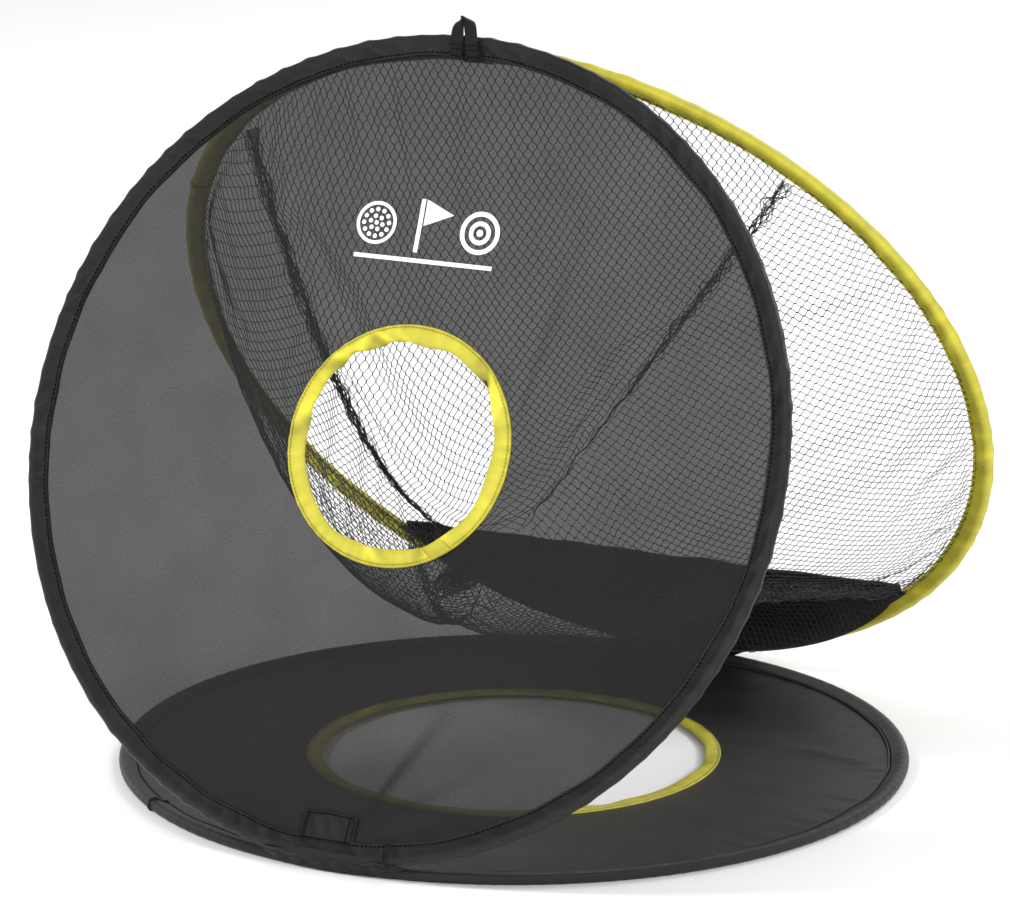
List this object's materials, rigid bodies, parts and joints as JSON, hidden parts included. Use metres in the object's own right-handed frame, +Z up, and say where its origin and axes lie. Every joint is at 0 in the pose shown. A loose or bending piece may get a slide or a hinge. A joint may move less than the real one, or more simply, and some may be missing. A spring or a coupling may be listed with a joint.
{
  "type": "golf chipping net",
  "caption": "Pop-up tent of three sprung cloth hoops with target holes of different size and a net bag behind, for golf chipping practice.",
  "frame": {"origin": "on the ground, in the middle of the tent's footprint", "axes": "+Z up, -Y towards the front target that the golfer faces, X along the fold lines of both leaning hoops"},
  "size_m": [0.6674, 0.6171, 0.5897],
  "materials": {
    "spring_wire": "drawn spring wire",
    "black_binding": "smooth polyester tape with a soft sheen",
    "ground_cloth": "closely woven satin polyester",
    "sheer_cloth": "thin see-through polyester mesh",
    "yellow_binding": "bright yellow polyester tape",
    "net_cord": null,
    "black_webbing": "woven webbing"
  },
  "bodies": {
    "ground": {"ground_hoop": "spring_wire", "ground_hoop_ferrule": "spring_wire", "ground_sleeve": "black_binding", "ground_cloth": "ground_cloth", "ground_hole_trim": "yellow_binding", "front_hinge_tape": "black_webbing", "rear_hinge_tape": "black_webbing"},
    "front": {"front_hoop": "spring_wire", "front_hoop_ferrule": "spring_wire", "front_sleeve": "black_binding", "front_cloth": "sheer_cloth", "front_hole_trim": "yellow_binding", "front_patch": "ground_cloth", "front_tie_tab": "black_webbing", "hang_loop_sewn_end": "black_webbing"},
    "hang_loop": {"hang_loop": "black_webbing"},
    "rear": {"rear_hoop": "spring_wire", "rear_hoop_ferrule": "spring_wire", "rear_sleeve": "yellow_binding", "rear_lower_cloth": "ground_cloth", "rear_lower_hem": "ground_cloth", "rear_tie_tab": "black_webbing", "net_top_gore": "net_cord", "net_left_gore": "net_cord", "net_bottom_gore": "net_cord", "net_right_gore": "net_cord", "seam_cord_upper_right": "net_cord", "seam_cord_upper_left": "net_cord", "seam_cord_lower_left": "net_cord", "seam_cord_lower_right": "net_cord", "net_tail": "net_cord", "net_tail_tie": "black_webbing"}
  },
  "joints": [
    {"name": "front_fold", "type": "hinge", "parent": "ground", "child": "front", "pos_m": [0, -0.3039, 0.00738], "axis": [1, 0, 0], "range_deg": [0, 112]},
    {"name": "rear_fold", "type": "hinge", "parent": "ground", "child": "rear", "pos_m": [0, 0.3039, 0.00773], "axis": [-1, 0, 0], "range_deg": [0, 123]},
    {"name": "hang_loop_flop", "type": "hinge", "parent": "front", "child": "hang_loop", "pos_m": [0, -0.0811, 0.57735], "axis": [1, 0, 0], "range_deg": [-50, 75], "stiffness_Nm_per_rad": 0.002}
  ]
}
